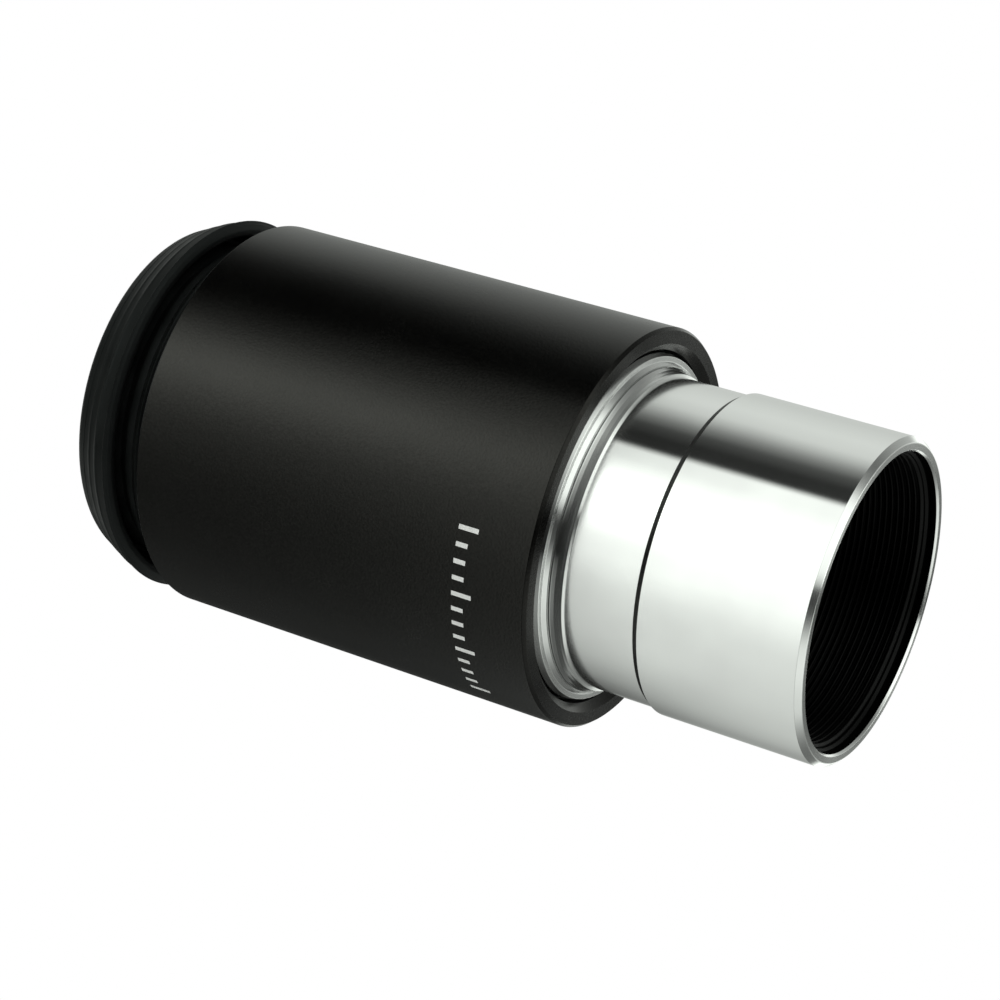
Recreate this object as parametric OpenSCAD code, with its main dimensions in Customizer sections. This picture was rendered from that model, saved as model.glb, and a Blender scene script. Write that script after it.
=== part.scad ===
// Long-focus telescope eyepiece with a 1.25 inch barrel.
// The optical axis is Z. The barrel's field end stands on Z = 0 and the eye end points up.
// Screw threads are drawn as parallel rings of the right pitch, with flat crests.

/* [Barrel] */
// Outside diameter of the push-in barrel
barrel_d = 31.7; // [31.6:0.05:31.75]
// Length from the field end to the hub that stops the barrel
barrel_len = 24.05; // [23:0.05:26]
// Height at which the retaining undercut starts
undercut_start = 16.35; // [14:0.05:17]
// Diameter inside the retaining undercut
undercut_d = 30.9; // [30.6:0.1:31.2]
// Pitch of the filter thread in the mouth
filter_pitch = 0.6; // [0.5:0.05:0.6]
// Diameter of the field stop's opening
field_stop_d = 27; // [20:0.5:27]

/* [Body] */
// Outside diameter of the housing
body_d = 39.84; // [39.4:0.02:42]
// Length of the housing
body_len = 43.8; // [43.6:0.1:46]
// Width of the chamfer round the housing's lower edge
body_chamfer = 0.3; // [0.1:0.1:0.6]

/* [Optics] */
// Diameter of the four lens elements
lens_d = 29; // [28.6:0.1:29]
// Radius of the inner face of each crown element
inner_radius = 36; // [35:1:60]
// Radius of the cemented faces
cement_radius = 30; // [29:1:40]
// Radius of the outer face of each flint element
outer_radius = 175; // [150:5:400]
// Thickness of a crown element at its centre
crown_thick = 8; // [8:0.1:8.6]
// Thickness of a flint element at its centre
flint_thick = 2; // [1.8:0.1:2.4]
// Air gap between the two doublets at the centre
air_gap = 0.6; // [0.4:0.1:1]

/* [Eyecup] */
// Diameter over the rim bead of the folded rubber skirt
rim_d = 38.84; // [38:0.02:39]
// Height of the rim bead's centre above the housing
rim_rise = 4.65; // [4.5:0.05:5]
// Height of the fold's crown above the housing
fold_rise = 9.42; // [9.2:0.02:10.4]
// Thickness of the rubber skirt
skirt_wall = 1.3; // [1.1:0.1:1.4]

/* [Hidden] */
$fn = 128;

gap = 0.03;                // slack between threaded or seated pieces
run = 0.05;                // radial running clearance of the eyecup on its cap
cement = 0.02;             // cement film in a doublet
cut = 1;                   // how far a cutting tool runs past the metal

// share of a pitch at which a thread's crest, first flank and root end
crest_share = 0.25;
flank_end = 0.56;
flank_start = 0.69;

// barrel
barrel_r = barrel_d / 2;
undercut_r = undercut_d / 2;
tip_chamfer = 0.6;
tip_r = barrel_r - 0.55;
shoulder_rise = 0.7;       // height of the cone that leads into the undercut
mouth_r = 14.5;
mouth_depth = 1.4;
filter_minor_r = 13.925;   // M28.5 x 0.6
filter_major_r = 14.25;
filter_turns = 8;
filter_relief = 0.6;       // length of the run-out above the filter thread
baffle_pitch = 0.75;       // anti-glare grooves above the run-out
baffle_turns = 10;
baffle_crest_r = 14.05;
baffle_r = 14.3;
hub_foot_r = undercut_r + 0.29;
hub_lead = 0.15;
hub_waist_r = hub_foot_r + 0.22;
hub_waist_z = barrel_len + 0.85;
hub_r = 16.26;             // radius that the hub flares to below the flange
hub_top = barrel_len + 1.4;
flange_r = 17.35;
flange_face = hub_top + 0.45;
flange_top = hub_top + 2.45;
flange_bevel = 0.55;       // height of the bevel round the flange's face
stop_thick = 1;
stop_seat = undercut_start;
upper_bore_r = 14.6;

// housing
body_r = body_d / 2;
body_z = hub_top + 0.2;
body_top = body_z + body_len;
face_inner_r = 18.33;
recess_r = 17.6;
main_pitch = 0.75;         // M33 x 0.75
main_major_r = 16.5;
main_minor_r = 16.1;
thread_turns = 18;
barrel_turns = 7;
lock_turns = 3;
cap_turns = 2;
bore_r = 15.95;
seat_thick = 0.8;
seat_top = body_top - 2.3;
seat_z = seat_top - seat_thick;
seat_r = 14.9;
thread_top = flange_top + thread_h(main_pitch, thread_turns);
lock_z = flange_top + main_pitch * (thread_turns - lock_turns);

// lens cell and lenses
lens_r = lens_d / 2;
cell_r = bore_r - gap;
cell_top = seat_z - gap;
cell_z = thread_top + 0.2;
cell_bore_r = 14.53;
clear_r = 13.5;            // clear radius of the optics
ledge = 0.8;               // thickness of the cell's ledge at the eye end
retainer_pitch = 0.5;
retainer_turns = 6;
retainer_r = 14.95;
function sag(radius, r) = radius - sqrt(radius * radius - r * r);
doublet = crown_thick + flint_thick;
eye_vertex = cell_top - ledge - gap + sag(outer_radius, clear_r);
middle = eye_vertex - doublet - air_gap / 2;
spacer_half = air_gap / 2 + sag(inner_radius, clear_r) - gap;
field_edge = 2 * middle - eye_vertex + sag(outer_radius, clear_r) - gap;

// eye cap and eyecup
cap_z = body_top - thread_h(main_pitch, cap_turns);
cap_flange_r = 18.6;
cap_flange = 1;
groove_r = 15.5;
groove_z = body_top + gap + cap_flange;
groove_h = 1.9;
lip_r = 16.2;
lip_h = 0.7;
cap_top = groove_z + groove_h + lip_h;
cap_mouth_r = 14.7;
foot_r = 18.4;
foot_h = 1.45;
foot_taper = 0.45;         // how far the foot's side leans in towards its top
neck_r = 16.35;
neck_in_r = 15.05;
roll = 1.4;                // outside radius of the rolled fold
fold_r = neck_in_r + roll;
crown_z = body_top + fold_rise - roll;
skirt_lean = 24;           // angle of the folded skirt to the axis
skirt_top_r = fold_r + roll / cos(skirt_lean);
rim_z = body_top + rim_rise;
rim_bead = 0.85;
rim_r = rim_d / 2;

// Points of a ringed thread that climbs from z, one pitch a ring, starting and ending on a flat crest.
function thread_up(crest_r, root_r, z, pitch, turns) = [
    for (i = [0 : turns - 1]) each [
        [crest_r, z + i * pitch],
        [crest_r, z + (i + crest_share) * pitch],
        [root_r, z + (i + flank_end) * pitch],
        [root_r, z + (i + flank_start) * pitch]
    ],
    [crest_r, z + turns * pitch],
    [crest_r, z + (turns + crest_share) * pitch]
];

// Height of such a thread.
function thread_h(pitch, turns) = (turns + crest_share) * pitch;

// The same points from the top down.
function flip(points) = [for (i = [len(points) - 1 : -1 : 0]) points[i]];

module turned(points) {
    rotate_extrude() polygon(points);
}

// Two spanner slots across the lower face of a ring.
module spanner_slots(ring_r, z, width, depth) {
    translate([-ring_r - cut, -width / 2, z - cut])
        cube([2 * ring_r + 2 * cut, width, depth + cut]);
}

// Chromed tube with the filter thread in its mouth and the screw-in spigot on top.
module barrel() {
    filter_top = mouth_depth + thread_h(filter_pitch, filter_turns);
    baffle_z = filter_top + filter_relief + 0.25;
    spigot_top = flange_top + thread_h(main_pitch, barrel_turns);
    color("gainsboro") turned(concat(
        [[mouth_r, 0],
         [tip_r, 0],
         [barrel_r, tip_chamfer],
         [barrel_r, undercut_start],
         [undercut_r, undercut_start + shoulder_rise],
         [undercut_r, barrel_len],
         [hub_foot_r, barrel_len + hub_lead],
         [hub_waist_r, hub_waist_z],
         [hub_r, hub_top],
         [hub_r + 0.3, flange_face],
         [flange_r - 0.3, flange_face],
         [flange_r, flange_face + flange_bevel],
         [flange_r, flange_top - gap],
         [main_minor_r - gap, flange_top - gap]],
        thread_up(main_minor_r - gap, main_major_r - gap, flange_top, main_pitch, barrel_turns),
        [[upper_bore_r, spigot_top],
         [upper_bore_r, stop_seat],
         [baffle_r, stop_seat]],
        flip(thread_up(baffle_crest_r, baffle_r, baffle_z, baffle_pitch, baffle_turns)),
        [[baffle_r, baffle_z - 0.25],
         [baffle_r, filter_top + 0.35]],
        flip(thread_up(filter_minor_r, filter_major_r, mouth_depth, filter_pitch, filter_turns)),
        [[mouth_r, mouth_depth - 0.4]]
    ));
}

// Thin blackened ring at the focus, which sets the edge of the view.
module field_stop() {
    stop_r = field_stop_d / 2;
    color("dimgray") turned([
        [stop_r, stop_seat + 0.15],
        [stop_r + 0.5, stop_seat + gap],
        [upper_bore_r - gap, stop_seat + gap],
        [upper_bore_r - gap, stop_seat + stop_thick],
        [stop_r + 0.5, stop_seat + stop_thick],
        [stop_r, stop_seat + 0.3]
    ]);
}

// Black housing, with the barrel's recess below and the eye cap's thread above.
module body_shell() {
    color("#303234") turned(concat(
        [[face_inner_r, body_z],
         [body_r - body_chamfer, body_z],
         [body_r, body_z + body_chamfer + 0.05],
         [body_r, body_top - 0.15],
         [body_r - 0.15, body_top]],
        flip(thread_up(main_minor_r, main_major_r, cap_z, main_pitch, cap_turns)),
        [[main_minor_r, seat_top],
         [seat_r, seat_top],
         [seat_r, seat_z],
         [bore_r, seat_z],
         [bore_r, thread_top]],
        flip(thread_up(main_minor_r, main_major_r, flange_top, main_pitch, thread_turns)),
        [[recess_r, flange_top],
         [recess_r, body_z + face_inner_r - recess_r]]
    ));
}

// Ring that screws up against the lens cell and holds it on the housing's seat.
module cell_lock_ring() {
    inner_r = clear_r + 1;
    top = lock_z + thread_h(main_pitch, lock_turns);
    color("#26282a") difference() {
        turned(concat(
            [[inner_r, lock_z]],
            thread_up(main_minor_r - gap, main_major_r - gap, lock_z, main_pitch, lock_turns),
            [[inner_r, top]]
        ));
        spanner_slots(main_major_r, lock_z, 1.6, 0.9);
    }
}

// Sleeve that carries the two doublets as one stack.
module lens_cell() {
    retainer_top = cell_z + thread_h(retainer_pitch, retainer_turns);
    color("#26282a") turned(concat(
        [[cell_r, cell_z],
         [cell_r, cell_top],
         [clear_r + 0.4, cell_top],
         [clear_r, cell_top - 0.4],
         [clear_r, cell_top - ledge],
         [cell_bore_r, cell_top - ledge],
         [cell_bore_r, retainer_top]],
        flip(thread_up(cell_bore_r + 0.1, retainer_r, cell_z, retainer_pitch, retainer_turns))
    ));
}

// Slotted ring that clamps the lens stack from the field side.
module field_retainer() {
    turns = 4;
    z = cell_z + retainer_pitch;
    top = z + thread_h(retainer_pitch, turns);
    color("#26282a") difference() {
        turned(concat(
            [[clear_r + 0.3, z]],
            thread_up(cell_bore_r + 0.1 - gap, retainer_r - gap, z, retainer_pitch, turns),
            [[cell_bore_r - gap, top],
             [cell_bore_r - gap, field_edge],
             [clear_r, field_edge],
             [clear_r, z + 0.3]]
        ));
        spanner_slots(retainer_r, z, 1.4, 0.7);
    }
}

// Crown element above the stack's middle, convex on both faces.
module crown() {
    low = air_gap / 2;
    intersection() {
        cylinder(r = lens_r, h = low + crown_thick);
        translate([0, 0, low + inner_radius]) sphere(r = inner_radius, $fn = 256);
        translate([0, 0, low + crown_thick - cement_radius]) sphere(r = cement_radius, $fn = 256);
    }
}

// Flint element above the stack's middle, hollowed to sit on its crown.
module flint() {
    low = air_gap / 2 + crown_thick;
    top = air_gap / 2 + doublet;
    difference() {
        intersection() {
            cylinder(r = lens_r, h = top);
            translate([0, 0, top - outer_radius]) sphere(r = outer_radius, $fn = 256);
        }
        translate([0, 0, low - cement_radius])
            sphere(r = cement_radius + cement, $fn = 256);
        translate([0, 0, -cut])
            cylinder(r = lens_r + cut, h = cut + low - sag(cement_radius, lens_r) + cement);
    }
}

module field_flint() {
    color("lightcyan", 0.5) translate([0, 0, middle]) mirror([0, 0, 1]) flint();
}

module field_crown() {
    color("aliceblue", 0.5) translate([0, 0, middle]) mirror([0, 0, 1]) crown();
}

// Ring that holds the two crowns apart at their edges.
module lens_spacer() {
    color("#26282a") turned([
        [clear_r, middle - spacer_half],
        [clear_r + 0.6, middle - spacer_half - gap],
        [cell_bore_r - gap, middle - spacer_half - gap],
        [cell_bore_r - gap, middle + spacer_half + gap],
        [clear_r + 0.6, middle + spacer_half + gap],
        [clear_r, middle + spacer_half]
    ]);
}

module eye_crown() {
    color("aliceblue", 0.5) translate([0, 0, middle]) crown();
}

module eye_flint() {
    color("lightcyan", 0.5) translate([0, 0, middle]) flint();
}

// Screwed ring that closes the eye end and carries the eyecup's groove.
module eye_cap() {
    color("#26282a") turned(concat(
        [[clear_r + 0.5, cap_z]],
        thread_up(main_minor_r - gap, main_major_r - gap, cap_z, main_pitch, cap_turns),
        [[main_minor_r - gap, body_top + gap],
         [cap_flange_r, body_top + gap],
         [cap_flange_r, groove_z],
         [groove_r, groove_z],
         [groove_r, groove_z + groove_h],
         [lip_r, groove_z + groove_h],
         [lip_r, cap_top - 0.3],
         [lip_r - 0.3, cap_top],
         [cap_mouth_r, cap_top]]
    ));
}

// Rubber sleeve: a foot that turns in the cap's groove, and a neck up to the fold's rounded crown.
module eyecup_neck() {
    bead_top = groove_z + groove_h - run;
    color("#1c1d1e") rotate_extrude() {
        polygon([
            [groove_r + run, groove_z + run],
            [foot_r - 0.2, groove_z + run],
            [foot_r, groove_z + run + 0.2],
            [foot_r - foot_taper, groove_z + foot_h],
            [lip_r + 1, groove_z + foot_h],
            [lip_r + 1, cap_top],
            [neck_r, cap_top + 1],
            [neck_r, crown_z],
            [neck_in_r, crown_z],
            [neck_in_r, cap_top + run],
            [lip_r + run, cap_top + run],
            [lip_r + run, bead_top],
            [groove_r + run, bead_top]
        ]);
        intersection() {
            translate([fold_r, crown_z]) circle(r = roll);
            translate([fold_r - roll, crown_z]) square([2 * roll, roll]);
        }
        polygon([
            [fold_r, crown_z],
            [skirt_top_r, crown_z],
            [fold_r + roll * cos(skirt_lean), crown_z + roll * sin(skirt_lean)]
        ]);
    }
}

// Rubber skirt, folded down over the neck, with moulded ribs and a beaded rim.
module eyecup_skirt() {
    top = crown_z - gap;
    bead_in_r = rim_r - 2 * rim_bead + 0.2;
    band_r = rim_r - 0.35;
    inner_top_r = fold_r + 0.35;
    rib_count = 4;
    rib = 0.12;
    drop = top - rim_z - rim_bead;
    color("#242526") rotate_extrude() {
        polygon([
            [bead_in_r, rim_z],
            [rim_r - 0.1, rim_z],
            [band_r, rim_z + rim_bead],
            [skirt_top_r, top],
            [inner_top_r, top],
            [band_r - skirt_wall, rim_z + rim_bead]
        ]);
        translate([rim_r - rim_bead, rim_z]) circle(r = rim_bead);
        for (i = [1 : rib_count]) {
            share = i / (rib_count + 1.5);
            translate([band_r - share * (band_r - skirt_top_r) - rib,
                       rim_z + rim_bead + share * drop])
                circle(r = 2 * rib);
        }
    }
}

barrel();
field_stop();
body_shell();
cell_lock_ring();
lens_cell();
field_retainer();
field_flint();
field_crown();
lens_spacer();
eye_crown();
eye_flint();
eye_cap();
eyecup_neck();
eyecup_skirt();
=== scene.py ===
import math

import bpy
import numpy as np
from mathutils import Matrix, Vector


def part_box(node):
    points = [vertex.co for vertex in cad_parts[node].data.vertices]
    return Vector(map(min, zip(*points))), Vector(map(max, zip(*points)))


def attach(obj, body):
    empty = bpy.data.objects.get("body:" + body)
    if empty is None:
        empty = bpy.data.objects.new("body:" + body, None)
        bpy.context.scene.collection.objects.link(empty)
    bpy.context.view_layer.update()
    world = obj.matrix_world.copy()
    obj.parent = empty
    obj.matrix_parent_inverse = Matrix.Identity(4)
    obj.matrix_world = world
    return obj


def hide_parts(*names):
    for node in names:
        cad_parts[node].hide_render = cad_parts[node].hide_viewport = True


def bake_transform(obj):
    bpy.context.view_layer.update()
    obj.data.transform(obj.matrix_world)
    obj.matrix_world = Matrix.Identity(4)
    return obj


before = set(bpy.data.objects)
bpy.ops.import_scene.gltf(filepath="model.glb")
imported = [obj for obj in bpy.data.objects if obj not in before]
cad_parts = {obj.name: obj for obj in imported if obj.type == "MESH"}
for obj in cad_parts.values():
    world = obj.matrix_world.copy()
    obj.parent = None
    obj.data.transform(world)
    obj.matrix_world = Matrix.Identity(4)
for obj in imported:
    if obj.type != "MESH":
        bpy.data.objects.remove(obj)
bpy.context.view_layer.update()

MM = 0.001
SEGMENTS = 288            # facets round a turned piece

# ---------------------------------------------------------------- sizes read from the frame


def span(node):
    """(outside radius, lowest height, highest height) of a CAD node, in millimetres."""
    low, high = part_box(node)
    return high.x / MM, low.z / MM, high.z / MM


FLANGE_R, _, SPIGOT_TOP = span("barrel")
BODY_R, BODY_Z, BODY_TOP = span("body_shell")
CAP_R, CAP_Z, CAP_TOP = span("eye_cap")
FOOT_R, FOOT_Z, FOLD_TOP = span("eyecup_neck")
RIM_R, RIM_Z, SKIRT_TOP = span("eyecup_skirt")
LENS_R = span("eye_flint")[0]
FIELD_VERTEX = span("field_flint")[1]
EYE_VERTEX = span("eye_flint")[2]
STOP_Z = span("field_stop")[1]

# sizes that the boxes don't give
BARREL_R = 15.85
UNDERCUT_R = 15.45
UNDERCUT_Z = 16.35
HUB_FOOT_R = 15.74
HUB_R = 16.26
HUB_Z = 24.05
HUB_TOP = 25.45
FLANGE_TOP = 27.9
MOUTH_R = 14.5
FILTER_R = 14.25          # root of the filter thread
FILTER_DEPTH = 0.33
FILTER_PITCH = 0.6
BAFFLE_DEPTH = 0.25
BAFFLE_PITCH = 0.6
UPPER_BORE_R = 14.6
RECESS_R = 17.6
FACE_INNER_R = 18.33

# ---------------------------------------------------------------- mesh tools


def unit(v):
    return v / np.linalg.norm(v)


def rounded(corners, steps=6):
    """Closed outline through (radius, height, fillet) corners, each rounded by its fillet radius."""
    points = []
    spots = [np.array(c[:2], float) for c in corners]
    for i, (here, corner) in enumerate(zip(spots, corners)):
        to_before = spots[i - 1] - here
        to_after = spots[(i + 1) % len(spots)] - here
        if corner[2] <= 0:
            points.append(here)
            continue
        half = math.acos(np.clip(unit(to_before) @ unit(to_after), -1, 1)) / 2
        room = 0.49 * min(np.linalg.norm(to_before), np.linalg.norm(to_after))
        reach = min(corner[2] / math.tan(half), room)
        radius = reach * math.tan(half)
        centre = here + unit(unit(to_before) + unit(to_after)) * radius / math.sin(half)
        first = here + unit(to_before) * reach - centre
        last = here + unit(to_after) * reach - centre
        sweep = math.pi - 2 * half
        side = math.copysign(1, first[0] * last[1] - first[1] * last[0])
        for k in range(steps + 1):
            a = side * sweep * k / steps
            turn = np.array([[math.cos(a), -math.sin(a)], [math.sin(a), math.cos(a)]])
            points.append(centre + turn @ first)
    return points


def supported(points, edge=0.04, least=0.4):
    """The closed outline with a point just inside each end of its long stretches, which then shade flat."""
    out = []
    for i, here in enumerate(points):
        out.append(here)
        along = points[(i + 1) % len(points)] - here
        length = np.linalg.norm(along)
        if length > least:
            out.append(here + along * edge / length)
            out.append(here + along * (1 - edge / length))
    return out


def refined(points, step, wanted):
    """The closed outline with its stretches cut to step where wanted(radius, height) says so."""
    out = []
    for i, here in enumerate(points):
        out.append(here)
        after = points[(i + 1) % len(points)]
        middle = (here + after) / 2
        pieces = int(np.linalg.norm(after - here) / step)
        if pieces > 1 and wanted(*middle):
            out += [here + (after - here) * k / pieces for k in range(1, pieces)]
    return out


def lathe(name, points, materials, paint=None, shape=None, closed=True, segments=SEGMENTS):
    """Solid of revolution about Z, from an outline of (radius, height) points.

    paint(radius, height) gives a stretch's material. shape(radii, heights, angles) moves a ring's points.
    """
    rings = []
    verts = []
    angles = np.arange(segments) * 2 * math.pi / segments
    for r, z in points:
        if r < 1e-6:
            rings.append([len(verts)] * segments)
            verts.append((0, 0, z * MM))
            continue
        radii = np.full(segments, float(r))
        heights = np.full(segments, float(z))
        if shape:
            radii, heights = shape(radii, heights, angles)
        rings.append(list(range(len(verts), len(verts) + segments)))
        verts += [(ra * math.cos(a) * MM, ra * math.sin(a) * MM, za * MM)
                  for ra, za, a in zip(radii, heights, angles)]
    faces = []
    slots = []
    count = len(points)
    for i in range(count if closed else count - 1):
        a, b = rings[i], rings[(i + 1) % count]
        middle = (np.array(points[i]) + np.array(points[(i + 1) % count])) / 2
        slot = paint(*middle) if paint else 0
        for k in range(segments):
            n = (k + 1) % segments
            corners = list(dict.fromkeys((a[k], a[n], b[n], b[k])))
            if len(corners) > 2:
                faces.append(corners)
                slots.append(slot)
    mesh = bpy.data.meshes.new(name)
    mesh.from_pydata(verts, [], faces)
    for material in materials:
        mesh.materials.append(material)
    mesh.polygons.foreach_set("material_index", slots)
    mesh.polygons.foreach_set("use_smooth", [True] * len(faces))
    mesh.validate()
    outline = np.array(points)
    after = np.roll(outline, -1, axis=0)
    area = np.sum(outline[:, 0] * after[:, 1] - after[:, 0] * outline[:, 1])
    if area > 0:
        mesh.flip_normals()
    mesh.update()
    piece = bpy.data.objects.new(name, mesh)
    bpy.context.scene.collection.objects.link(piece)
    return piece


# ---------------------------------------------------------------- material tools


class Shader:
    """A node material, with short calls for its nodes."""

    def __init__(self, name, **values):
        self.material = bpy.data.materials.new(name)
        self.material.use_nodes = True
        self.tree = self.material.node_tree
        self.surface = self.tree.nodes["Principled BSDF"]
        for key, value in values.items():
            self.surface.inputs[key.replace("_", " ")].default_value = value
        coordinates = self.node("ShaderNodeTexCoord")
        self.place = coordinates.outputs["Object"]

    def node(self, kind, **settings):
        made = self.tree.nodes.new(kind)
        for key, value in settings.items():
            setattr(made, key, value)
        return made

    def link(self, source, target):
        self.tree.links.new(source, target)

    def noise(self, size, detail=2.0, stretch=(1, 1, 1), offset=0.0):
        """Noise whose grains are about size millimetres, stretched along an axis by its factor."""
        mapping = self.node("ShaderNodeMapping")
        self.link(self.place, mapping.inputs["Vector"])
        mapping.inputs["Location"].default_value = (offset, offset, offset)
        mapping.inputs["Scale"].default_value = [1 / (size * MM * s) for s in stretch]
        texture = self.node("ShaderNodeTexNoise")
        texture.inputs["Scale"].default_value = 1
        texture.inputs["Detail"].default_value = detail
        self.link(mapping.outputs["Vector"], texture.inputs["Vector"])
        return texture.outputs["Fac"]

    def remap(self, source, low, high, from_low=0.3, from_high=0.7):
        """Low to high, as the source goes from from_low to from_high. Most noise lies in 0.3 to 0.7."""
        node = self.node("ShaderNodeMapRange")
        self.link(source, node.inputs["Value"])
        node.inputs["From Min"].default_value = from_low
        node.inputs["From Max"].default_value = from_high
        node.inputs["To Min"].default_value = low
        node.inputs["To Max"].default_value = high
        return node.outputs["Result"]

    def math(self, operation, a, b):
        node = self.node("ShaderNodeMath", operation=operation)
        for socket, value in zip(node.inputs, (a, b)):
            if isinstance(value, (int, float)):
                socket.default_value = value
            else:
                self.link(value, socket)
        return node.outputs["Value"]

    def tint(self, source, dark, light):
        """Colour between dark and light by the source's value."""
        node = self.node("ShaderNodeMix", data_type="RGBA")
        self.link(source, node.inputs["Factor"])
        node.inputs["A"].default_value = (*dark, 1)
        node.inputs["B"].default_value = (*light, 1)
        self.link(node.outputs["Result"], self.surface.inputs["Base Color"])

    def turned(self, wall, face, wall_marks):
        """Streak reflections across lathe marks: fully on end faces, by wall_marks (0 to 1) on cylinders.

        The result is the roughness, which is wall on cylinders and face on end faces.
        """
        self.surface.inputs["Anisotropic Rotation"].default_value = 0.25
        round_axis = self.node("ShaderNodeTangent", direction_type="RADIAL", axis="Z")
        self.link(round_axis.outputs["Tangent"], self.surface.inputs["Tangent"])
        split = self.node("ShaderNodeSeparateXYZ")
        self.link(self.node("ShaderNodeNewGeometry").outputs["True Normal"], split.inputs["Vector"])
        upright = self.math("ABSOLUTE", split.outputs["Z"], 0.0)
        self.link(self.remap(upright, wall_marks, 1, 0.5, 0.9), self.surface.inputs["Anisotropic"])
        return self.remap(upright, wall, face, 0.5, 0.9)

    def ring_noise(self, size):
        """Noise that depends on radius and height only, as turning marks do."""
        split = self.node("ShaderNodeSeparateXYZ")
        self.link(self.place, split.inputs["Vector"])
        across = self.math("MULTIPLY", split.outputs["X"], split.outputs["X"])
        deep = self.math("MULTIPLY", split.outputs["Y"], split.outputs["Y"])
        radius = self.math("SQRT", self.math("ADD", across, deep), 0.0)
        texture = self.node("ShaderNodeTexNoise", noise_dimensions="1D")
        along = self.math("ADD", radius, split.outputs["Z"])
        self.link(self.math("MULTIPLY", along, 1 / (size * MM)), texture.inputs["W"])
        texture.inputs["Scale"].default_value = 1
        return texture.outputs["Fac"]

    def bump(self, source, depth, strength=1.0, below=None):
        """Bump of depth millimetres; below is a bump to lay this one over."""
        node = self.node("ShaderNodeBump")
        node.inputs["Distance"].default_value = depth * MM
        node.inputs["Strength"].default_value = strength
        self.link(source, node.inputs["Height"])
        if below:
            self.link(below, node.inputs["Normal"])
        self.link(node.outputs["Normal"], self.surface.inputs["Normal"])
        return node.outputs["Normal"]


def chrome_plate():
    """Bright chrome over turned metal: the marks blur reflections across them, most on the end faces."""
    s = Shader("chrome_plate", Metallic=1.0)
    haze = s.noise(6, detail=4)
    s.tint(s.remap(haze, 0, 1), (0.855, 0.865, 0.855), (0.885, 0.89, 0.885))
    on_face = s.turned(wall=0.10, face=0.21, wall_marks=1.0)
    s.link(s.math("ADD", on_face, s.remap(haze, 0, 0.03)), s.surface.inputs["Roughness"])
    rings = s.ring_noise(0.05)
    s.bump(rings, 0.0012, 0.5)
    return s.material


def painted_shade_step():
    """Painted shade on the slope between the barrel and its undercut: dark metal standing in for the shade
    in that corner, with a random mottle.
    """
    s = Shader("painted_shade_step", Metallic=1.0)
    shade_mottle = s.noise(0.3, detail=3)
    s.tint(s.remap(shade_mottle, 0, 1), (0.05, 0.05, 0.05), (0.09, 0.09, 0.087))
    s.link(s.remap(shade_mottle, 0.3, 0.4), s.surface.inputs["Roughness"])
    return s.material


def barrel_black():
    """Matt black coating inside the barrel."""
    s = Shader("barrel_black", IOR=1.22)
    grain = s.noise(0.08, detail=3)
    s.tint(s.remap(s.noise(1.5), 0, 1), (0.0015, 0.0016, 0.0016), (0.004, 0.0042, 0.0042))
    s.link(s.remap(grain, 0.34, 0.5), s.surface.inputs["Roughness"])
    s.bump(grain, 0.004, 0.4)
    return s.material


def satin_housing():
    """Satin black finish over a fine blasted grain."""
    s = Shader("satin_housing", IOR=1.36, Specular_Tint=(1, 0.975, 0.92, 1))
    grain = s.noise(0.22, detail=2)
    wide = s.noise(5, detail=3)
    s.tint(s.remap(grain, 0, 1), (0.0003, 0.0003, 0.0003), (0.0010, 0.0010, 0.0009))
    turned = s.turned(wall=0.2, face=0.22, wall_marks=0.0)
    uneven = s.math("ADD", s.remap(wide, 0, 0.03), s.remap(grain, 0, 0.05))
    s.link(s.math("ADD", turned, uneven), s.surface.inputs["Roughness"])
    s.link(s.remap(grain, 0.44, 0.57), s.surface.inputs["Specular IOR Level"])
    s.bump(grain, 0.012, 0.8)
    return s.material


def blackened_metal():
    """Matt black anodised metal of the rings inside, with turning marks."""
    s = Shader("blackened_metal", Roughness=0.45)
    marks = s.noise(0.1, detail=2, stretch=(40, 40, 1))
    grain = s.noise(0.06, detail=3)
    s.tint(s.remap(grain, 0, 1), (0.008, 0.008, 0.0085), (0.02, 0.02, 0.021))
    s.link(s.remap(marks, 0.38, 0.52), s.surface.inputs["Roughness"])
    s.bump(grain, 0.003, 0.4, s.bump(marks, 0.004, 0.5))
    return s.material


def moulded_rubber(name, smooth, rough, shine):
    """Black rubber with a soft moulded grain and a little bloom, its roughness between smooth and rough.
    Shine is its specular level; a shine well below 0.5 darkens it as painted shade.
    """
    s = Shader(name, IOR=1.285, Specular_IOR_Level=shine, Specular_Tint=(0.9, 1, 0.985, 1))
    bloom = s.noise(3, detail=4)
    grain = s.noise(0.1, detail=3)
    s.tint(s.remap(bloom, 0, 1), (0.005, 0.0056, 0.0056), (0.0095, 0.0102, 0.0101))
    s.link(s.remap(bloom, smooth, rough), s.surface.inputs["Roughness"])
    s.bump(grain, 0.004, 0.5)
    return s.material


def coated_glass():
    """Polished lens face with an anti-reflection film, slightly dusty."""
    s = Shader("coated_glass", Roughness=0.0, Transmission_Weight=1.0, IOR=1.53)
    s.surface.inputs["Thin Film Thickness"].default_value = 100
    s.surface.inputs["Thin Film IOR"].default_value = 1.38
    s.tint(s.remap(s.noise(4), 0, 1), (0.97, 0.99, 0.985), (0.98, 0.995, 0.99))
    s.link(s.remap(s.noise(0.3, detail=4), 0.0, 0.01, 0.6, 0.8), s.surface.inputs["Roughness"])
    return s.material


def cement_face():
    """Cemented face between two glasses, which light crosses unbent."""
    s = Shader("cement_face")
    clear = s.node("ShaderNodeBsdfTransparent")
    tone = s.node("ShaderNodeMix", data_type="RGBA")
    s.link(s.remap(s.noise(5), 0, 1), tone.inputs["Factor"])
    tone.inputs["A"].default_value = (0.985, 0.99, 0.985, 1)
    tone.inputs["B"].default_value = (0.995, 1, 0.995, 1)
    s.link(tone.outputs["Result"], clear.inputs["Color"])
    s.link(clear.outputs["BSDF"], s.tree.nodes["Material Output"].inputs["Surface"])
    return s.material


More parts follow.
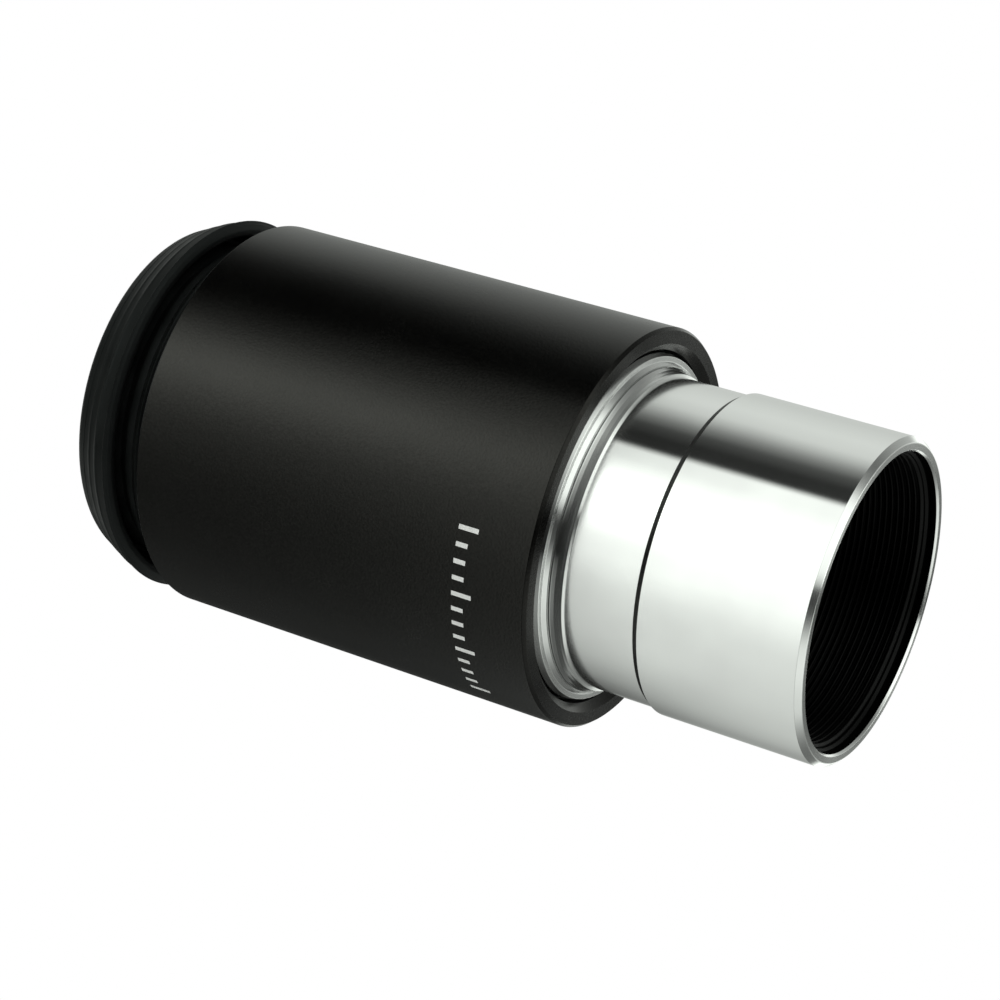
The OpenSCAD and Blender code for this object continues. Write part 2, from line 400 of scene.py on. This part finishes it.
def edge_black():
    """Black lacquer on a lens's ground edge."""
    s = Shader("edge_black", Roughness=0.6)
    grain = s.noise(0.1, detail=3)
    s.tint(s.remap(grain, 0, 1), (0.006, 0.006, 0.006), (0.016, 0.016, 0.016))
    s.bump(grain, 0.004, 0.5)
    return s.material


def white_ink():
    """White pad-printed ink, a little worn."""
    s = Shader("white_ink", Roughness=0.5)
    worn = s.noise(0.2, detail=3)
    s.tint(s.remap(worn, 0, 1), (0.84, 0.84, 0.83), (0.93, 0.93, 0.92))
    s.bump(worn, 0.002, 0.3)
    return s.material


CHROME = chrome_plate()
# painted shade for the slope into the barrel's undercut
PAINTED_SHADE_STEP = painted_shade_step()
BARREL_BLACK = barrel_black()
HOUSING = satin_housing()
BLACKENED = blackened_metal()
RUBBER = moulded_rubber("moulded_rubber", 0.5, 0.62, 0.49)
# the foot's rubber: really smoother, and with its shine lowered as painted shade for the dark slot under
# the skirt
SMOOTH_SHADED_RUBBER = moulded_rubber("smooth_shaded_rubber", 0.26, 0.34, 0.28)
GLASS = coated_glass()
CEMENT = cement_face()
EDGE = edge_black()
INK = white_ink()

# ---------------------------------------------------------------- pieces


def ridge(turn):
    """Height of a thread's ridge, 0 at the root and 1 at the crest, at a place in turns."""
    share = np.mod(turn, 1)
    return np.clip(1.75 - np.abs(share - 0.5) * 5, 0, 1)


def ramp(value, low, high):
    t = np.clip((value - low) / (high - low), 0, 1)
    return t * t * (3 - 2 * t)


def barrel():
    """Chromed barrel: outside, undercut, hub and flange, and the blackened bore with its helical thread."""
    filter_z, filter_top = 1.25, 6.3
    baffle_z, baffle_top = 6.1, 15.2
    nose_r, nose_height = 15.36, 0.55
    step_height = 0.6         # of the slope into the undercut
    step_low, step_high = UNDERCUT_Z + 0.01, UNDERCUT_Z + step_height - 0.02
    flange_z = HUB_TOP + 0.45
    rear_z = FLANGE_TOP - 0.02
    spigot_r = 16.05
    ledge_z = STOP_Z - 0.03
    outline = rounded([
        (MOUTH_R, 0.2, 0.08),
        (MOUTH_R + 0.2, 0, 0.12),
        (nose_r, 0, 0.2),
        (BARREL_R, nose_height, 0.03),
        (BARREL_R, UNDERCUT_Z, 0.03),
        (UNDERCUT_R, UNDERCUT_Z + step_height, 0.05),
        (UNDERCUT_R, HUB_Z, 0.1),
        (HUB_FOOT_R, HUB_Z + 0.15, 0.04),
        (HUB_FOOT_R + 0.08, HUB_Z + 0.45, 0.5),
        (HUB_FOOT_R + 0.22, HUB_Z + 0.85, 0.5),
        (HUB_FOOT_R + 0.37, HUB_Z + 1.15, 0.5),
        (HUB_R, HUB_TOP - 0.02, 0),
        (HUB_R - 0.08, HUB_TOP + 0.01, 0),
        (HUB_R - 0.03, HUB_TOP + 0.07, 0),
        (HUB_R + 0.29, HUB_TOP + 0.43, 0.1),
        (FLANGE_R - 0.3, flange_z, 0.06),
        (FLANGE_R, flange_z + 0.55, 0.1),
        (FLANGE_R, rear_z, 0.05),
        (spigot_r, rear_z, 0),
        (spigot_r, SPIGOT_TOP, 0.1),
        (UPPER_BORE_R, SPIGOT_TOP, 0.1),
        (UPPER_BORE_R, ledge_z, 0.02),
        (FILTER_R, ledge_z, 0.1),
        (FILTER_R, filter_z, 0.05),
        (MOUTH_R, filter_z - 0.25, 0.1),
    ])

    def threaded(r, z, angle):
        turns = angle / (2 * math.pi)
        in_bore = ramp(-r, -FILTER_R - 0.02, -FILTER_R)
        filter_part = ramp(z, filter_z, filter_z + 0.5) * ramp(-z, -filter_top, -filter_top + 0.4)
        baffle_part = ramp(z, baffle_z, baffle_z + 0.3) * ramp(-z, -baffle_top, -baffle_top + 0.3)
        depth = FILTER_DEPTH * filter_part * ridge(z / FILTER_PITCH - turns)
        depth = depth + BAFFLE_DEPTH * baffle_part * ridge(z / BAFFLE_PITCH - turns)
        return r - in_bore * depth, z

    def finish(r, z):
        # the slope into the undercut takes the dark metal that is painted shade
        if r > UNDERCUT_R and step_low < z < step_high:
            return step_shade
        in_bore = r < MOUTH_R + 0.02 and z > 0.21
        behind_flange = r < FLANGE_R - 0.5 and z > rear_z - 0.08
        return black if in_bore or behind_flange else chrome

    chrome, black, step_shade = 0, 1, 2
    materials = [CHROME, BARREL_BLACK, PAINTED_SHADE_STEP]
    outline = refined(outline, 0.05, lambda r, z: r < FILTER_R + 0.01 and filter_z < z < STOP_Z)
    piece = lathe("barrel_tube", supported(outline), materials, paint=finish, shape=threaded)
    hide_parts("barrel")
    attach(piece, "housing")


def housing():
    """Satin housing, with its recess for the barrel's flange and its bore."""
    chamfer_width, chamfer_height = 0.28, 0.34
    cap_bore_r, seat_r, cell_bore_r, thread_r = 16.15, 14.9, 15.95, 16.45
    seat_z, seat_top = CAP_Z - 1.4, CAP_Z - 0.6
    thread_top = SPIGOT_TOP + 8
    recess_z = FLANGE_TOP + 0.03
    outline = rounded([
        (FACE_INNER_R, BODY_Z, 0.06),
        (BODY_R - chamfer_width, BODY_Z, 0.08),
        (BODY_R, BODY_Z + chamfer_height, 0.1),
        (BODY_R, BODY_TOP, 0.03),
        (cap_bore_r, BODY_TOP, 0.05),
        (cap_bore_r, seat_top, 0),
        (seat_r, seat_top, 0.1),
        (seat_r, seat_z, 0.1),
        (cell_bore_r, seat_z, 0),
        (cell_bore_r, thread_top + 0.2, 0),
        (thread_r, thread_top, 0),
        (thread_r, recess_z, 0),
        (RECESS_R, recess_z, 0.1),
        (RECESS_R, BODY_Z + FACE_INNER_R - RECESS_R, 0.06),
    ])
    piece = lathe("housing_shell", supported(outline), [HOUSING, BLACKENED],
                  paint=lambda r, z: int(r < RECESS_R + 0.01))
    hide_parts("body_shell")
    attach(piece, "housing")


def index_marks():
    """A plain printed scale of bars round the housing, every fourth one long."""
    count, pitch, width = 13, 1.64, 0.46      # pitch and width along the circumference
    long_bar, short_bar = 2.1, 1.25
    top, proud, sunk = BODY_Z + 7.85, 0.015, 0.01
    first = math.radians(-101.5)
    verts, faces = [], []
    for k in range(count):
        height = long_bar if k % 4 == 0 else short_bar
        base = len(verts)
        for side in (0, 1, 2):                # the bar's two edges and its middle, to follow the curve
            a = first - (k * pitch + side * width / 2) / BODY_R
            for r, z in ((-sunk, 0), (proud, 0), (proud, -height), (-sunk, -height)):
                radius = (BODY_R + r) * MM
                verts.append((radius * math.cos(a), radius * math.sin(a), (top + z) * MM))
        for side in (0, 1):
            here, after = base + 4 * side, base + 4 * side + 4
            for c in range(4):
                n = (c + 1) % 4
                faces.append((here + c, here + n, after + n, after + c))
        faces.append((base + 3, base + 2, base + 1, base))
        faces.append((base + 8, base + 9, base + 10, base + 11))
    mesh = bpy.data.meshes.new("index_marks")
    mesh.from_pydata(verts, [], faces)
    mesh.materials.append(INK)
    mesh.update()
    piece = bpy.data.objects.new("index_marks", mesh)
    bpy.context.scene.collection.objects.link(piece)
    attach(piece, "housing")


def lens(name, node, upper, lower):
    """One lens element between two faces, each (sag in mm at a radius, vertex height, material's index)."""
    steps, bevel, edge = 28, 0.15, 2

    def height(face, r):
        sag, vertex, _ = face
        return vertex + sag(r)

    def paint(r, z):
        if r > LENS_R - bevel - 0.01:
            return edge
        middle = (height(upper, r) + height(lower, r)) / 2
        return upper[2] if z > middle else lower[2]

    radii = np.linspace(0, LENS_R - bevel, steps)
    top = [np.array((r, height(upper, r))) for r in radii]
    bottom = [np.array((r, height(lower, r))) for r in radii]
    shoulder = [np.array((LENS_R, top[-1][1] - bevel)), np.array((LENS_R, bottom[-1][1] + bevel))]
    points = top + shoulder + bottom[::-1]
    piece = lathe(name, points, [GLASS, CEMENT, EDGE], paint=paint, closed=False, segments=144)
    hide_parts(node)
    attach(piece, "housing")


def optics():
    """The two cemented doublets, crowns facing each other across the middle."""
    inner_radius, cement_radius, outer_radius = 36, 30, 175
    crown_thick, flint_thick = 8, 2
    film = 0.02

    def dished(radius):
        """Sag of a face that rises away from the axis."""
        return lambda r: radius - math.sqrt(radius * radius - r * r)

    def domed(radius):
        """Sag of a face that falls away from the axis."""
        return lambda r: math.sqrt(radius * radius - r * r) - radius

    doublet = crown_thick + flint_thick
    eye_cement = EYE_VERTEX - flint_thick
    eye_inner = EYE_VERTEX - doublet
    field_cement = FIELD_VERTEX + flint_thick
    field_inner = FIELD_VERTEX + doublet
    glass, cement = 0, 1
    lens("eye_lens_flint", "eye_flint",
         (domed(outer_radius), EYE_VERTEX, glass), (domed(cement_radius), eye_cement + film, cement))
    lens("eye_lens_crown", "eye_crown",
         (domed(cement_radius), eye_cement, cement), (dished(inner_radius), eye_inner, glass))
    lens("field_lens_crown", "field_crown",
         (domed(inner_radius), field_inner, glass), (dished(cement_radius), field_cement, cement))
    lens("field_lens_flint", "field_flint",
         (dished(cement_radius), field_cement - film, cement), (dished(outer_radius), FIELD_VERTEX, glass))


def cap_ring():
    """Blackened ring at the eye end, with anti-glare steps down to the lens."""
    lip_r, groove_r, spigot_r, bore_r, mouth_r = 16.2, 15.5, 16.05, 14.0, 14.75
    lip_z, groove_z = CAP_TOP - 0.7, CAP_TOP - 2.6
    seat_z = BODY_TOP + 0.03
    steps, taper = 7, 0.7
    plain = 0.3               # height left without steps at each end
    corners = [
        (lip_r, CAP_TOP, 0.25),
        (lip_r, lip_z, 0.05),
        (groove_r, lip_z, 0.05),
        (groove_r, groove_z, 0.05),
        (CAP_R, groove_z, 0.15),
        (CAP_R, seat_z, 0.15),
        (spigot_r, seat_z, 0),
        (spigot_r, CAP_Z, 0.1),
        (bore_r, CAP_Z, 0.1),
    ]
    rise = (CAP_TOP - CAP_Z - 2 * plain) / steps
    for k in range(steps):
        r = bore_r + taper * k / steps
        z = CAP_Z + plain + rise * k
        # each step is a wall, a ledge outwards and a slope back in
        corners.append((r, z + rise * 0.6, 0.03))
        corners.append((r + 0.25, z + rise * 0.7, 0.03))
        corners.append((r + 0.12, z + rise, 0.03))
    corners.append((mouth_r, CAP_TOP, 0.1))
    piece = lathe("cap_ring", supported(rounded(corners, steps=4)), [BLACKENED])
    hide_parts("eye_cap")
    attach(piece, "housing")


ROLL = 1.4                # outside radius of the rolled fold
CROWN_R = 16.45           # radius at which the roll is centred
LEAN = math.radians(24)   # angle of the folded skirt to the axis


def eyecup_sleeve():
    """The eyecup's foot in its groove, the neck and the rolled crown of the fold."""
    lip_z = CAP_TOP - 0.75
    grip_r, over_lip_r, neck_r, inside_r = 15.55, 16.25, 16.35, 15.05
    foot_top = FOOT_Z + 1.4
    crown_z = FOLD_TOP - ROLL
    crown = [(CROWN_R - ROLL * math.cos(a), crown_z + ROLL * math.sin(a), 0)
             for a in np.linspace(0, math.pi - LEAN, 26)]
    outline = rounded([
        (grip_r, lip_z, 0.05),
        (grip_r, FOOT_Z, 0.05),
        (FOOT_R - 0.35, FOOT_Z, 0.1),
        (FOOT_R - 0.05, FOOT_Z + 0.4, 0.06),
        (FOOT_R - 0.9, foot_top, 0.2),
        (17.2, foot_top, 0.3),
        (17.0, CAP_TOP, 0.5),
        (neck_r, CAP_TOP + 1, 0.4),
        (neck_r, crown_z, 0.2),
        (CROWN_R + ROLL / math.cos(LEAN), crown_z, 0),
    ] + crown[::-1] + [
        (inside_r, CAP_TOP + 0.05, 0.2),
        (over_lip_r, CAP_TOP + 0.05, 0),
        (over_lip_r, lip_z, 0),
    ])
    # the foot's outer face takes the smooth rubber, whose low shine is painted shade
    piece = lathe("eyecup_sleeve", supported(outline), [RUBBER, SMOOTH_SHADED_RUBBER],
                  paint=lambda r, z: int(r > 17.1 and z < foot_top + 0.05))
    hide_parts("eyecup_neck")
    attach(piece, "eyecup")


def eyecup_skirt():
    """The folded skirt, tapering up to the fold, with faint moulded ribs outside and a beaded rim."""
    top = SKIRT_TOP
    top_r = CROWN_R + ROLL / math.cos(LEAN)
    tuck = 0.5                # hidden length inside the crown
    root_r = 16.8
    edge_z = top - 3.39       # height of the rim's sharp edge
    rib_heights = (top - 2.04, top - 0.94)
    rib, rib_width = 0.05, 0.2
    lip, lip_width = 0.16, 0.1
    outline = rounded([
        (top_r - 0.01 - tuck * math.tan(LEAN), top + tuck, 0.05),
        (RIM_R - 0.49, edge_z + 1.25, 0.5),
        (RIM_R - 0.34, edge_z + 0.7, 0.3),
        (RIM_R - 0.15, edge_z, 0.04),
        (RIM_R - 0.32, edge_z - 0.3, 0.3),
        (RIM_R - 0.82, RIM_Z + 0.25, 0.4),
        (RIM_R - 1.47, edge_z - 0.45, 0.4),
        (RIM_R - 1.7, edge_z + 0.25, 0.6),
        (RIM_R - 1.77, edge_z + 1.15, 0.6),
        (root_r, top, 0.1),
        (root_r, top + tuck, 0.05),
    ])

    def ribbed(r, z, angle):
        middle = 17.6 + (top - z[0]) * 0.3
        outside = ramp(r, middle, middle + 0.15) * ramp(-z, -top, 0.3 - top)
        lift = sum(rib * np.exp(-((z - h) / rib_width) ** 2) for h in rib_heights)
        lift = lift + lip * np.exp(-((z - edge_z) / lip_width) ** 2)
        return r + outside * lift, z

    outline = refined(outline, 0.04, lambda r, z: True)
    piece = lathe("eyecup_skirt_rubber", outline, [RUBBER], shape=ribbed)
    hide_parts("eyecup_skirt")
    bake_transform(piece)


barrel()
housing()
index_marks()
optics()
cap_ring()
eyecup_sleeve()
eyecup_skirt()

for node in ("field_stop", "cell_lock_ring", "lens_cell", "field_retainer", "lens_spacer"):
    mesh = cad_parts[node].data
    mesh.materials.clear()
    mesh.materials.append(BLACKENED)

# ---------------------------------------------------------------- stage, light and camera


def floor():
    """Pale round floor with a painted glow: nil inside the barrel mouth's radius and full at twice it, so a
    painted contact shadow lies under and round the barrel. It fades to clear far out and is clear from
    below.
    """
    radius, rings, drop = 600, 24, 0.02
    brightest = 0.42          # emission of the painted glow, reached at twice the barrel mouth's radius
    mesh_points = [np.array((radius * k / rings, -drop)) for k in range(rings + 1)]
    piece = lathe("floor", mesh_points, [], closed=False, segments=96)
    piece.data.flip_normals()
    s = Shader("pale_floor", Roughness=0.6)
    s.tint(s.remap(s.noise(8, detail=4), 0, 1), (0.80, 0.80, 0.80), (0.83, 0.83, 0.83))
    length = s.node("ShaderNodeVectorMath", operation="LENGTH")
    s.link(s.place, length.inputs[0])
    # painted contact shadow: no glow inside the barrel mouth's radius, rising to full at twice it
    glow_with_painted_shadow = s.remap(length.outputs["Value"], 0, brightest, MOUTH_R * MM, 2 * MOUTH_R * MM)
    s.link(glow_with_painted_shadow, s.surface.inputs["Emission Strength"])
    fade = s.remap(length.outputs["Value"], 0, 1, 0.2 * radius * MM, 0.9 * radius * MM)
    side = s.node("ShaderNodeNewGeometry")
    clear = s.node("ShaderNodeBsdfTransparent")
    mix = s.node("ShaderNodeMixShader")
    s.link(s.math("MAXIMUM", fade, side.outputs["Backfacing"]), mix.inputs["Fac"])
    s.link(s.surface.outputs["BSDF"], mix.inputs[1])
    s.link(clear.outputs["BSDF"], mix.inputs[2])
    s.link(mix.outputs["Shader"], s.tree.nodes["Material Output"].inputs["Surface"])
    piece.data.materials.append(s.material)
    piece.visible_glossy = False


# Light round the object: (elevation, ((azimuth, tone), ...)), in degrees. Azimuth 0 is the camera's side
# and -90 is +X. The camera sees the barrel mirror LEVEL, with the key light at azimuth -56 to 13, and the
# housing mirror SATIN. The rings below them light the end faces, the chamfers and the hub, and those above
# light the eyecup's skirt.
KEY = 1.35
LEVEL = ((-180, 0.60), (-150, 0.63), (-120, 0.77), (-104, 0.74), (-97, 0.58), (-88, 0.28), (-80, 0.09),
         (-70, 0.025), (-60.7, 0.03), (-56.2, KEY), (13, KEY), (22, 1.3), (32, 1.14), (42, 0.97),
         (52, 0.87), (70, 0.80), (95, 0.75), (120, 0.66), (135, 0.54), (150, 0.38), (162, 0.34),
         (180, 0.60))
SATIN = ((-180, 0.45), (-150, 0.50), (-140, 0.60), (-130, 0.63), (-120, 0.58), (-110, 0.38), (-100, 0.12),
         (-90, 0.03), (-80, 0.01), (-62, 0.01), (-50, 0.27), (-40, 1.1), (-30, 2.1), (-20, 2.8),
         (-10, 2.2), (0, 1.4), (10, 0.82), (20, 0.55), (30, 0.39), (40, 0.26), (60, 0.18), (100, 0.15),
         (120, 0.12), (150, 0.05), (168, 0.07), (180, 0.45))
ROOM = (
    (-64, ((-180, 0.4), (-172, 1.8), (-100, 1.6), (-16, 1.1), (-4, 0.6), (5, 0.04), (30, 0.04), (42, 0.3),
           (60, 0.95), (140, 1.1), (147, 0.6), (152, 0.02), (174, 0.02), (177, 0.2), (180, 0.4))),
    (-47, ((-180, 0.4), (-177, 1.2), (-168, 2.0), (-150, 1.4), (-130, 0.3), (-100, 0.15), (-90, 0.4),
           (-80, 1.1), (-16, 1.2), (0, 0.6), (12, 0.04), (32, 0.04), (44, 0.3), (56, 0.8), (78, 0.95),
           (108, 0.85), (150, 0.8), (168, 0.8), (172, 0.02), (178, 0.02), (180, 0.3))),
    (-36, ((-180, 0.05), (-174, 0.3), (-160, 0.6), (-140, 0.3), (-108, 0.1), (-92, 0.4), (-80, 1.1),
           (-60, 1.4), (-40, 1.05), (-20, 0.45), (0, 0.07), (10, 0.02), (30, 0.012), (40, 0.2),
           (60, 0.45), (80, 0.6), (108, 0.8), (125, 0.5), (140, 0.25), (160, 0.3), (174, 0.05),
           (180, 0.05))),
    (-16, ((-180, 0.12), (-176, 0.1), (-170, 0.8), (-157, 0.8), (-148, 0.4), (-133, 0.35), (-110, 0.2),
           (-80, 0.3), (-60, 0.38), (-40, 0.17), (-20, 0.08), (0, 0.024), (30, 0.01), (60, 0.043),
           (80, 0.08), (100, 0.14), (120, 0.18), (150, 0.15), (158, 0.5), (169, 0.5), (175, 0.1),
           (180, 0.12))),
    (4, ((-180, 0.12), (-177, 0.12), (-172, 1.4), (-157, 1.4), (-150, 0.5), (-120, 0.3), (-80, 0.1),
         (-60, 0.12), (-20, 0.14), (0, 0.1), (20, 0.05), (60, 0.03), (120, 0.04), (151, 0.2), (157, 1.6),
         (172, 1.6), (177, 0.12), (180, 0.12))),
    (15, LEVEL),
    (20, LEVEL),
    (23.6, ((-180, 0.60), (-150, 0.63), (-120, 0.76), (-104, 0.72), (-97, 0.55), (-88, 0.25), (-80, 0.07),
            (-70, 0.025), (-60.7, 0.03), (-56.2, KEY), (14, 1.5), (22, 1.62), (32, 1.52), (42, 1.4),
            (60, 1.28), (80, 1.07), (100, 0.68), (120, 0.31), (140, 0.1), (160, 0.03), (180, 0.5))),
    (25.6, SATIN),
    (42, SATIN),
    (60, ((-180, 1.6), (-130, 1.4), (-105, 0.1), (-47, 0.03), (-37, 0.15), (-8, 0.15), (4, 0.05),
          (105, 0.05), (130, 1.4), (180, 1.6))),
    (75, ((-180, 0.04), (0, 0.02), (180, 0.04))),
)
TINT = (0.957, 1.0, 0.95)


def studio():
    """White to the camera; to everything else, a room of soft panels and dark gaps round the object."""
    world = bpy.data.worlds.new("studio")
    world.use_nodes = True
    bpy.context.scene.world = world
    nodes, links = world.node_tree.nodes, world.node_tree.links

    def math_node(operation, *values):
        node = nodes.new("ShaderNodeMath")
        node.operation = operation
        for socket, value in zip(node.inputs, values):
            if isinstance(value, (int, float)):
                socket.default_value = value
            else:
                links.new(value, socket)
        return node.outputs["Value"]

    def mix_node(share, a, b):
        node = nodes.new("ShaderNodeMix")
        node.data_type = "RGBA"
        for socket, value in (("Factor", share), ("A", a), ("B", b)):
            if isinstance(value, tuple):
                node.inputs[socket].default_value = value
            else:
                links.new(value, node.inputs[socket])
        return node.outputs["Result"]

    def ring_of_light(azimuth, stops):
        node = nodes.new("ShaderNodeValToRGB")
        elements = node.color_ramp.elements
        elements.remove(elements[-1])
        for k, (degrees, tone) in enumerate(stops):
            element = elements[0] if k == 0 else elements.new((degrees + 180) / 360)
            element.position = (degrees + 180) / 360
            element.color = (*(tone * t for t in TINT), 1)
        links.new(azimuth, node.inputs["Fac"])
        return node.outputs["Color"]

    split = nodes.new("ShaderNodeSeparateXYZ")
    links.new(nodes.new("ShaderNodeTexCoord").outputs["Generated"], split.inputs["Vector"])
    back_x = math_node("MULTIPLY", split.outputs["X"], -1)
    back_y = math_node("MULTIPLY", split.outputs["Y"], -1)
    azimuth = math_node("MULTIPLY_ADD", math_node("ARCTAN2", back_x, back_y), 0.5 / math.pi, 0.5)
    elevation = math_node("MULTIPLY", math_node("ARCSINE", split.outputs["Z"]), 180 / math.pi)
    light = ring_of_light(azimuth, ROOM[0][1])
    for (below, _), (above, stops) in zip(ROOM, ROOM[1:]):
        share = nodes.new("ShaderNodeMapRange")
        links.new(elevation, share.inputs["Value"])
        share.inputs["From Min"].default_value = below
        share.inputs["From Max"].default_value = above
        light = mix_node(share.outputs["Result"], light, ring_of_light(azimuth, stops))
    seen = nodes.new("ShaderNodeLightPath").outputs["Is Camera Ray"]
    links.new(mix_node(seen, light, (1, 1, 1, 1)), nodes["Background"].inputs["Color"])


def camera():
    """A long lens looking up at the barrel's mouth, rolled so that the eyepiece lies across the picture."""
    out, down = 246.96, 80.77            # distance from the axis, and below the barrel's end, in mm
    aim_up, aim_side, roll = 26.021, -0.213, 72.997
    data = bpy.data.cameras.new("camera")
    data.lens = 100.72
    data.sensor_width = 36
    data.clip_start = 0.01
    data.clip_end = 10
    seen_from = bpy.data.objects.new("camera", data)
    bpy.context.scene.collection.objects.link(seen_from)
    pitch = Matrix.Rotation(math.radians(90 + aim_up), 4, "X")
    yaw = Matrix.Rotation(math.radians(-aim_side), 4, "Z")
    tilt = Matrix.Rotation(math.radians(-roll), 4, "Z")
    place = Matrix.Translation(Vector((0, -out, -down)) * MM)
    seen_from.matrix_world = place @ yaw @ pitch @ tilt
    bpy.context.scene.camera = seen_from


floor()
studio()
camera()
bpy.context.scene.view_settings.view_transform = "Standard"
